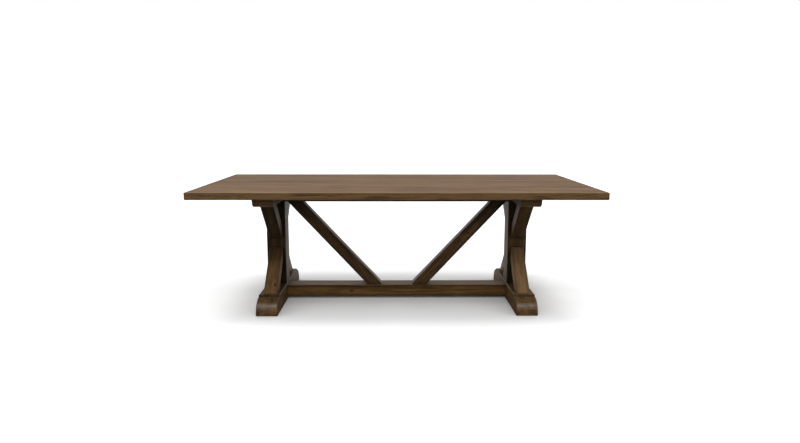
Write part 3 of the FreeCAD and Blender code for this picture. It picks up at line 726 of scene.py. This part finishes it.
@dataclass(frozen=True)
class Polish:
    """The gloss, the bloom and the relief of the surface.

    Dulled is how much rougher the faces are that look up. The burnish is a gloss on rounded noses:
    on surfaces that rise between its two spans and don't look along the table.
    """

    roughness: float = 0.5
    roughness_swing: float = 0.12
    late_gloss: float = -0.4
    dulled: float = 0.0
    looking_up: Span = (0.8, 0.98)
    specular: float = 0.5
    bloom: float = 0.0
    bloom_roughness: float = 0.35
    bloom_tint: Colour = Colour(240, 224, 202)
    burnish: float = 0.0
    burnish_roughness: float = 0.2
    burnish_from: Span = (0.28, 0.5)
    burnish_to: Span = (0.75, 0.95)
    burnish_aside: Span = (0.1, 0.4)
    relief: float = 0.0006
    relief_share: float = 0.6
    late_relief: float = 0.4
    pore_relief: float = -0.8

    def shine(self, surface: Surface, grain: Grain, shader: bpy.types.Node) -> None:
        """Gives a shader its gloss, its bloom and its relief.

        Args:
            surface: the surface.
            grain: the marks of the wood.
            shader: the surface's shader.
        """
        graph = surface.graph
        graph.feed(shader.inputs["Roughness"], self._roughness(surface, grain))
        shader.inputs["Specular IOR Level"].default_value = self.specular
        shader.inputs["Sheen Weight"].default_value = self.bloom
        shader.inputs["Sheen Roughness"].default_value = self.bloom_roughness
        shader.inputs["Sheen Tint"].default_value = self.bloom_tint.linear
        if self.burnish:
            graph.feed(shader.inputs["Coat Weight"], self._burnished(surface))
            shader.inputs["Coat Roughness"].default_value = self.burnish_roughness
        ridges = graph.math("MULTIPLY_ADD", grain.late, self.late_relief, grain.fibres)
        height = graph.math("MULTIPLY_ADD", grain.pores, self.pore_relief, ridges)
        graph.feed(shader.inputs["Normal"], graph.bump(height, self.relief, self.relief_share))

    def _roughness(self, surface: Surface, grain: Grain) -> Socket:
        """Makes latewood and dense bands a little glossier, and faces that look up duller.

        Args:
            surface: the surface.
            grain: the marks of the wood.

        Returns:
            The roughness.
        """
        graph = surface.graph
        swing = graph.math("ADD", graph.math("MULTIPLY", grain.late, self.late_gloss), grain.bands)
        even = self.roughness - self.roughness_swing / 2
        level = graph.fade(surface.rise, self.looking_up, (even, even + self.dulled))
        return graph.math("MULTIPLY_ADD", swing, self.roughness_swing, level)

    def _burnished(self, surface: Surface) -> Socket:
        """Finds the rounded noses that hands and shoes polish.

        Args:
            surface: the surface.

        Returns:
            The share of polish.
        """
        graph = surface.graph
        above = graph.fade(surface.rise, self.burnish_from)
        below = graph.fade(surface.rise, self.burnish_to, FALLING)
        across = graph.fade(surface.aside, self.burnish_aside, FALLING)
        nose = graph.math("MULTIPLY", graph.math("MULTIPLY", above, below), across)
        return graph.math("MULTIPLY", nose, self.burnish)


@dataclass(frozen=True)
class WoodFinish:
    """A wood: its figure, stain and glaze, rubbed and highlit arrises, and painted shade."""

    name: str
    palette: Palette
    rings: Rings = Rings()
    figure: Figure = Figure()
    glaze: GlazeAndPaintedShade = GlazeAndPaintedShade()
    wear: WearAndHighlight = WearAndHighlight()
    polish: Polish = Polish()

    def varied(self, name: str, **changes: dict[str, object]) -> "WoodFinish":
        """Gives a finish that differs from this one in some values of its parts.

        Args:
            name: the name of the new finish.
            **changes: the new values, by the part that they belong to.

        Returns:
            The new finish.
        """
        parts = {part: replace(getattr(self, part), **values) for part, values in changes.items()}
        return replace(self, name=name, **parts)

    def dress(self, piece: bpy.types.Object, seed: int, tone: float = 0.0) -> None:
        """Gives a sawn piece this finish, with the figure of its own plank.

        Args:
            piece: the piece.
            seed: the number of the plank, which sets its figure.
            tone: how much darker, or below 0 lighter, this plank is: its own tone, and on some
                timbers painted shading.
        """
        graph = Graph.of_material(f"{self.name}.{piece.name}")
        surface = Surface.of(piece, graph, seed)
        grain = self.figure.grain(surface, self.rings)
        colour = self.figure.stain(surface, grain, self.palette, tone)
        colour = self.glaze.lay(surface, colour, self.palette)
        colour = self.wear.rub_and_highlight(surface, colour, self.palette)
        shader = graph.node("BsdfPrincipled")
        graph.feed(shader.inputs["Base Color"], colour)
        self.polish.shine(surface, grain, shader)
        put_on(piece, graph.finish(shader.outputs[0]))


@dataclass(frozen=True)
class SteelFinish:
    """Dull zinc-plated steel with fine wire-drawn marks."""

    plate: Colour = Colour(158, 155, 150)
    tarnish: Colour = Colour(104, 98, 88)
    clouds: Noise = Noise((90.0, 90.0, 90.0), 4.0, span=(0.4, 0.7))
    marks: Noise = Noise((300.0, 2400.0, 2400.0))
    least_roughness: float = 0.26
    roughness_swing: float = 0.25
    relief: float = 0.00005
    relief_share: float = 0.5

    def dress(self, piece: bpy.types.Object) -> None:
        """Gives a steel piece this finish.

        Args:
            piece: the piece.
        """
        graph = Graph.of_material(f"zinc_plate.{piece.name}")
        place = graph.node("TexCoord").outputs["Object"]
        cloud = graph.noise(place, self.clouds)
        rough = graph.math("MULTIPLY_ADD", cloud, self.roughness_swing, self.least_roughness)
        colour = graph.mix(graph.fade(cloud, self.clouds.span), self.plate, self.tarnish)
        marks = graph.noise(place, self.marks)
        shader = graph.node("BsdfPrincipled")
        shader.inputs["Metallic"].default_value = 1.0
        graph.feed(shader.inputs["Base Color"], colour)
        graph.feed(shader.inputs["Roughness"], rough)
        graph.feed(shader.inputs["Normal"], graph.bump(marks, self.relief, self.relief_share))
        put_on(piece, graph.finish(shader.outputs[0]))


@dataclass(frozen=True)
class FeltFinish:
    """Dense needle felt."""

    felt: Colour = Colour(52, 47, 43)
    fleck: Colour = Colour(96, 88, 80)
    flecks: Noise = Noise((500.0, 900.0, 500.0), span=(0.55, 0.75))
    fuzz: Noise = Noise((1300.0, 1300.0, 1300.0), 4.0)
    roughness: float = 0.95
    sheen: float = 0.3
    relief: float = 0.0004
    relief_share: float = 0.8

    def dress(self, piece: bpy.types.Object) -> None:
        """Gives a felt piece this finish.

        Args:
            piece: the piece.
        """
        graph = Graph.of_material(f"felt.{piece.name}")
        place = graph.node("TexCoord").outputs["Object"]
        fuzz = graph.noise(place, self.fuzz)
        shader = graph.node("BsdfPrincipled")
        colour = graph.mix(graph.faded_noise(place, self.flecks), self.felt, self.fleck)
        graph.feed(shader.inputs["Base Color"], colour)
        shader.inputs["Roughness"].default_value = self.roughness
        shader.inputs["Sheen Weight"].default_value = self.sheen
        graph.feed(shader.inputs["Normal"], graph.bump(fuzz, self.relief, self.relief_share))
        put_on(piece, graph.finish(shader.outputs[0]))


TOP_FINISH = WoodFinish(
    name="top_stain",
    palette=Palette(
        early=Colour(141, 108, 70), late=Colour(82, 54, 31), pore=Colour(50, 35, 20),
        glaze=Colour(50, 35, 19), shade=Colour(40, 28, 15), worn_and_highlit=Colour(168, 142, 112)),
    rings=Rings(heart=(0.03, 0.08), wander=0.08),
    figure=Figure(
        streaks=0.6, swirls=0.45, drift=0.2, edge_swing=(-1.32, 0.12),
        streak_noise=replace(Figure.streak_noise, stretch=(0.7, 80.0, 80.0)),
        swirl_noise=replace(Figure.swirl_noise, stretch=(2.2, 24.0, 48.0))),
    glaze=GlazeAndPaintedShade(arris_reach=0.004, arris_share=0.7),
    wear=WearAndHighlight(share=0.1),
    polish=Polish(roughness=0.62, specular=0.12))
OUTER_BOARD_FINISH = TOP_FINISH.varied(
    "outer_board_stain",
    glaze={"arris_reach": 0.008, "arris_share": 0.4, "flat_share": 0.2},
    # The level faces of the outer boards are much lighter along their arrises: rubbing and painted
    # highlight.
    wear={"share": 1.0, "even": 0.6, "on_uprights": 0.0})
BASE_FINISH = WoodFinish(
    name="base_stain",
    palette=Palette(
        early=Colour(136, 104, 64), late=Colour(73, 52, 28), pore=Colour(34, 24, 12),
        glaze=Colour(28, 20, 10), shade=Colour(13, 9, 5), worn_and_highlit=Colour(140, 110, 72)),
    rings=Rings(spacing=0.009),
    # Painted light on the faces that look along the table.
    figure=Figure(rings=0.25, streaks=0.3, swirls=0.6, drift=0.5, painted_side_light=0.3),
    # Painted shade in the corners, reaching 0.18 m from what closes them in.
    glaze=GlazeAndPaintedShade(
        arris_reach=0.018, arris_share=0.4, knot_share=0.8, corner_reach=0.18, painted_corner_shade=0.95),
    # Arrises rubbed lighter, with a painted highlight in part.
    wear=WearAndHighlight(share=0.4),
    polish=Polish(roughness=0.42, dulled=0.12, specular=0.14, bloom=0.15))
FOOT_FINISH = BASE_FINISH.varied(
    "foot_stain", figure={"painted_side_light": 0.0}, polish={"burnish": 1.0, "bloom": 0.0})
# A lower leg with painted shadow over its head, under the upper leg.
PAINTED_HEAD_SHADE_LEG_FINISH = BASE_FINISH.varied("painted_head_shade_leg_stain", glaze={"painted_head_shade": 0.55})
# A paler lower leg, with a lighter painted shadow over its head.
PALE_PAINTED_HEAD_SHADE_LEG_FINISH = BASE_FINISH.varied(
    "pale_painted_head_shade_leg_stain", palette={"early": Colour(160, 127, 84)}, glaze={"painted_head_shade": 0.25})
STRETCHER_FINISH = BASE_FINISH.varied(
    "stretcher_stain",
    palette={"early": Colour(142, 105, 60)},
    figure={"rings": 0.4, "streaks": 0.6, "swirls": 1.1,
            "swirl_noise": replace(Figure.swirl_noise, stretch=(2.4, 34.0, 34.0))},
    glaze={"arris_share": 0.6})
# A brace with painted shadow over its top, under the tabletop.
SHADED_BRACE_FINISH = BASE_FINISH.varied(
    "shaded_brace_stain", glaze={"painted_head_shade": 0.5, "painted_head_heights": (0.45, 0.65)})
BEECH = WoodFinish(
    name="beech",
    palette=Palette(
        early=Colour(214, 180, 138), late=Colour(186, 146, 104), pore=Colour(132, 92, 60),
        glaze=Colour(170, 128, 88), shade=Colour(150, 110, 74), worn_and_highlit=Colour(222, 192, 152)),
    rings=Rings(spacing=0.004),
    glaze=GlazeAndPaintedShade(arris_reach=0.001, arris_share=0.15, corner_reach=0.004),
    wear=WearAndHighlight(reach=0.001, share=0.2),
    polish=Polish(roughness=0.6))
STEEL = SteelFinish()
FELT = FeltFinish()


@dataclass(frozen=True)
class Coat:
    """How much darker than most, or below 0 lighter, one timber is, and with which finish.
    On the posts the darkening is painted shade, and on the bearers the lightening painted light.
    """

    tone: float = 0.0
    finish: WoodFinish = BASE_FINISH


@dataclass
class Tabletop:
    """The boards of the top and the tongues between them."""

    nodes: dict[str, bpy.types.Object]
    first_plank: int = 3
    tones: tuple[float, ...] = (0.0, 0.07, -0.01, 0.08, 0.0, 0.1, -0.02)
    tongues: str = "board_tongues"

    def dress(self) -> list[str]:
        """Stains each board as a plank of its own and leaves the tongues raw.

        Returns:
            The names of the pieces.
        """
        boards = sorted(name for name in self.nodes if name.startswith("top_board_"))
        for number, (name, tone) in enumerate(zip(boards, self.tones), self.first_plank):
            finish = OUTER_BOARD_FINISH if name in (boards[0], boards[-1]) else TOP_FINISH
            finish.dress(self.nodes[name], number, tone)
        BEECH.dress(self.nodes[self.tongues], self.first_plank)
        return [*boards, self.tongues]


@dataclass
class Timbers:
    """A sub-assembly of timbers, each a plank of its own, with a field for the coat of each."""

    nodes: dict[str, bpy.types.Object]
    first_plank: int

    def node_name(self, part: str) -> str:
        """Gives the name of a part's node."""
        return part

    def dress(self) -> list[str]:
        """Stains each timber.

        Returns:
            The names of the pieces.
        """
        values = {field.name: getattr(self, field.name) for field in fields(self)}
        coats = {
            self.node_name(part): coat for part, coat in values.items() if isinstance(coat, Coat)}
        for number, (name, coat) in enumerate(coats.items(), self.first_plank):
            coat.finish.dress(self.nodes[name], number, coat.tone)
        return list(coats)


@dataclass
class Trestle(Timbers):
    """One trestle: a foot, a post, a bearer and the four legs of the X."""

    side: Side
    # Painted light: the bearers are made lighter, standing in for light on their front ends under
    # the top.
    bearer: Coat = Coat(-0.4)
    foot: Coat = Coat(0.0, FOOT_FINISH)
    front_lower_leg: Coat = Coat()
    front_upper_leg: Coat = Coat()
    post: Coat = Coat()
    rear_lower_leg: Coat = Coat()
    rear_upper_leg: Coat = Coat()

    def node_name(self, part: str) -> str:
        """Gives the name of a part's node, which starts with the side."""
        return f"{self.side.value}_{part}"


@dataclass
class CentreFrame(Timbers):
    """The stretcher, the rail under the top and the two braces."""

    stretcher: Coat = Coat(-0.28, STRETCHER_FINISH)
    top_rail: Coat = Coat(0.2)
    left_brace: Coat = Coat(0.2)
    right_brace: Coat = Coat(0.2, SHADED_BRACE_FINISH)


@dataclass
class Joinery:
    """What holds the timbers together: loose tenons, bolts, nuts and screws, and the floor pads."""

    nodes: dict[str, bpy.types.Object]
    tenons: tuple[str, ...] = ("leg_loose_tenons", "brace_loose_tenons")
    ironwork: tuple[str, ...] = (
        "stretcher_bolts", "stretcher_nuts", "rail_bolts", "rail_nuts", "top_screws")
    pads: tuple[str, ...] = ("floor_pads",)

    def dress(self) -> list[str]:
        """Finishes the tenons, the ironwork and the pads.

        Returns:
            The names of the pieces.
        """
        for number, name in enumerate(self.tenons):
            BEECH.dress(self.nodes[name], number)
        for name in self.ironwork:
            STEEL.dress(self.nodes[name])
        for name in self.pads:
            FELT.dress(self.nodes[name])
        return [*self.tenons, *self.ironwork, *self.pads]


@dataclass
class Studio:
    """A white sweep: a pale floor and backdrop, two broad lamps overhead and a softbox in front.
    The floor has painted shade near the table and painted light towards its ends.

    Levels are shares of plain light, under which a surface shows the colour that it is painted.
    A pair of floor levels holds the middle of the floor and its two ends, or the front and the back
    of what it mirrors. Turns are spans of the direction that the light comes from.
    """

    floor_reach: float = 40.0
    floor_shown: Span = (0.9, 0.96)
    floor_bounce: float = 0.13
    floor_mirrored: Span = (0.12, 0.85)
    floor_depth: Span = (-0.6, 0.8)
    floor_ends: Span = (0.7, 1.25)
    floor_glow: Span = (0.55, 0.6)
    floor_painted_shade_reach: float = 0.95
    glow_samples: int = 8
    ceiling: float = 0.42
    ceiling_turn: Span = (0.1, 0.6)
    room: float = 0.7
    backdrop: float = 0.9
    backdrop_turn: Span = (-0.35, 0.4)
    flank: float = 1.3
    flank_turn: Span = (0.4, 0.85)
    lamp: float = 0.27
    lamp_angle: float = math.radians(16)
    lamp_tilt: float = math.radians(1)
    lamp_lean: float = math.radians(12)
    key: float = 0.11
    key_place: Numbers = (0.0, -3.1, 3.7)
    key_aim: Numbers = (0.0, 0.0, 0.3)
    key_size: tuple[float, float] = (3.8, 0.35)

    def build(self) -> None:
        """Makes the floor, the world and the lamps."""
        self._build_floor()
        self._build_world()
        self._build_lamps()
        self._build_key()

    def _build_floor(self) -> None:
        """Lays a floor that shows white, keeps the shadow, has painted shade near the table and
        painted light towards its ends, and sends little light back up.
        """
        mesh = bpy.data.meshes.new("studio_floor")
        around = ((-1, -1), (1, -1), (1, 1), (-1, 1))
        corners = [(self.floor_reach * x, self.floor_reach * y, 0.0) for x, y in around]
        mesh.from_pydata(corners, [], [(0, 1, 2, 3)])
        floor = bpy.data.objects.new("studio_floor", mesh)
        bpy.context.scene.collection.objects.link(floor)
        graph = Graph.of_material("studio_floor")
        along, back, _ = graph.split(graph.node("TexCoord").outputs["Object"])
        # Painted light: the floor is made lighter towards its ends.
        outwards = graph.fade(graph.math("ABSOLUTE", along), self.floor_ends)
        both = graph.node("AddShader")
        graph.feed(both.inputs[0], self._floor_paint(graph, back, outwards))
        graph.feed(both.inputs[1], self._floor_light(graph, outwards))
        put_on(floor, graph.finish(both.outputs[0]))

    def _floor_paint(self, graph: Graph, back: Socket, outwards: Socket) -> Socket:
        """Paints the floor pale to the camera, with painted light towards its ends, darker in
        reflections and dark to other light.

        Args:
            graph: the floor's graph.
            back: how far back each place lies.
            outwards: how far each place lies towards the ends, from 0 to 1.

        Returns:
            The paint's shader.
        """
        path = graph.node("LightPath")
        seen, mirrored = path.outputs["Is Camera Ray"], path.outputs["Is Glossy Ray"]
        middle, ends = (level - self.floor_bounce for level in self.floor_shown)
        shown = graph.math("MULTIPLY_ADD", outwards, ends - middle, middle)
        share = graph.math("MULTIPLY_ADD", seen, shown, self.floor_bounce)
        reflected = tuple(level - self.floor_bounce for level in self.floor_mirrored)
        sheen = graph.fade(back, self.floor_depth, reflected)
        paint = graph.node("BsdfDiffuse")
        graph.feed(paint.inputs["Color"], graph.math("MULTIPLY_ADD", mirrored, sheen, share))
        return paint.outputs[0]

    def _floor_light(self, graph: Graph, outwards: Socket) -> Socket:
        """Lifts the floor towards white for the camera alone, with painted shade where things close
        it in and painted light towards its ends.

        Args:
            graph: the floor's graph.
            outwards: how far each place lies towards the ends, from 0 to 1.

        Returns:
            The light's shader.
        """
        seen = graph.node("LightPath").outputs["Is Camera Ray"]
        # Painted shade: the glow fades where the table closes the floor in.
        openness = graph.openness(self.floor_painted_shade_reach, self.glow_samples)
        middle, ends = self.floor_glow
        level = graph.math("MULTIPLY_ADD", outwards, ends - middle, middle)
        level = graph.math("MULTIPLY", openness, level)
        glow = graph.node("Emission")
        graph.feed(glow.inputs["Strength"], graph.math("MULTIPLY", level, seen))
        return glow.outputs[0]

    def _build_world(self) -> None:
        """Surrounds the scene: white to the eye, and to the object brighter above and behind."""
        world = bpy.data.worlds.new("studio_world")
        bpy.context.scene.world = world
        graph = Graph(world)
        along, back, above = graph.split(graph.node("TexCoord").outputs["Generated"])
        middle = graph.fade(back, self.backdrop_turn, (self.room, self.backdrop))
        aside = graph.fade(graph.math("ABSOLUTE", along), self.flank_turn)
        low = graph.math("MULTIPLY_ADD", graph.math("SUBTRACT", self.flank, middle), aside, middle)
        high = graph.fade(above, self.ceiling_turn)
        drop = graph.math("SUBTRACT", self.ceiling, low)
        level = graph.math("MULTIPLY_ADD", drop, high, low)
        path = graph.node("LightPath").outputs
        seen = graph.math("MAXIMUM", path["Is Glossy Ray"], path["Is Transmission Ray"])
        seen = graph.math("MAXIMUM", path["Is Camera Ray"], seen)
        background = graph.node("Background")
        background.inputs["Color"].default_value = (1.0, 1.0, 1.0, 1.0)
        graph.feed(background.inputs["Strength"], graph.math("MAXIMUM", level, seen))
        graph.feed(graph.node("OutputWorld").inputs["Surface"], background.outputs[0])

    def _build_lamps(self) -> None:
        """Hangs two broad soft lights above, one leaning in from each end of the table."""
        for side, lean in ((Side.LEFT, self.lamp_lean), (Side.RIGHT, -self.lamp_lean)):
            light = bpy.data.lights.new(f"{side.value}_lamp", "SUN")
            light.energy = math.pi * self.lamp / 2
            light.angle = self.lamp_angle
            lamp = bpy.data.objects.new(f"{side.value}_lamp", light)
            lamp.rotation_euler = (self.lamp_tilt, -lean, 0.0)
            bpy.context.scene.collection.objects.link(lamp)

    def _build_key(self) -> None:
        """Stands a softbox in front, above the camera."""
        place, aim = Vector(self.key_place), Vector(self.key_aim)
        light = bpy.data.lights.new("studio_key", "AREA")
        light.shape = "RECTANGLE"
        light.size, light.size_y = self.key_size
        light.energy = self.key * (math.pi * (place - aim).length) ** 2
        lamp = bpy.data.objects.new("studio_key", light)
        lamp.location = place
        lamp.rotation_euler = (aim - place).to_track_quat("-Z", "Y").to_euler()
        bpy.context.scene.collection.objects.link(lamp)


@dataclass
class Viewpoint:
    """The camera, at eye height in front of the middle of the table.

    Angles are in radians, and the lens and the sensor in millimetres.
    """

    place: Numbers = (-0.0228, -3.7842, 1.1823)
    heading: float = 0.0114
    down: float = 0.1403
    roll: float = 0.0016
    lens: float = 26.095
    sensor: float = 36.0
    shift: float = -0.0261

    def build(self) -> None:
        """Makes the camera and hands it to the scene."""
        data = bpy.data.cameras.new("camera")
        data.sensor_width = self.sensor
        data.lens = self.lens
        data.shift_y = self.shift
        camera = bpy.data.objects.new("camera", data)
        bpy.context.scene.collection.objects.link(camera)
        ahead = Vector((
            math.sin(self.heading) * math.cos(self.down),
            math.cos(self.heading) * math.cos(self.down),
            -math.sin(self.down)))
        right = Vector((math.cos(self.heading), -math.sin(self.heading), 0.0))
        above = right.cross(ahead)
        rolled = right * math.cos(self.roll) + above * math.sin(self.roll)
        axes = Matrix((rolled, rolled.cross(ahead), -ahead)).transposed()
        camera.matrix_world = Matrix.Translation(self.place) @ axes.to_4x4()
        bpy.context.scene.camera = camera


def main() -> None:
    """Dresses the table, builds the studio and reports each piece."""
    logging.basicConfig(level=logging.INFO, format="%(name)s: %(message)s")
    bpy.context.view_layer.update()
    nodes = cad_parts
    left = Trestle(
        nodes, first_plank=12, side=Side.LEFT,
        foot=Coat(0.1, FOOT_FINISH),
        front_lower_leg=Coat(-0.25, PAINTED_HEAD_SHADE_LEG_FINISH),
        front_upper_leg=Coat(0.45),
        # Painted shade: the post is darker, standing in for the shade behind and between the legs.
        post=Coat(0.5))
    right = Trestle(
        nodes, first_plank=24, side=Side.RIGHT,
        foot=Coat(-0.08, FOOT_FINISH),
        front_lower_leg=Coat(-0.45, PALE_PAINTED_HEAD_SHADE_LEG_FINISH),
        front_upper_leg=Coat(0.12),
        # Painted shade: the post is darker, standing in for the shade behind and between the legs.
        post=Coat(0.2))
    centre = CentreFrame(nodes, first_plank=40)
    for assembly in (Tabletop(nodes), left, right, centre, Joinery(nodes)):
        for name in assembly.dress():
            LOG.info("%s: finished %s", type(assembly).__name__, name)
    Studio().build()
    Viewpoint().build()
    bpy.context.scene.view_settings.view_transform = "Standard"


if __name__ == "__main__":
    main()
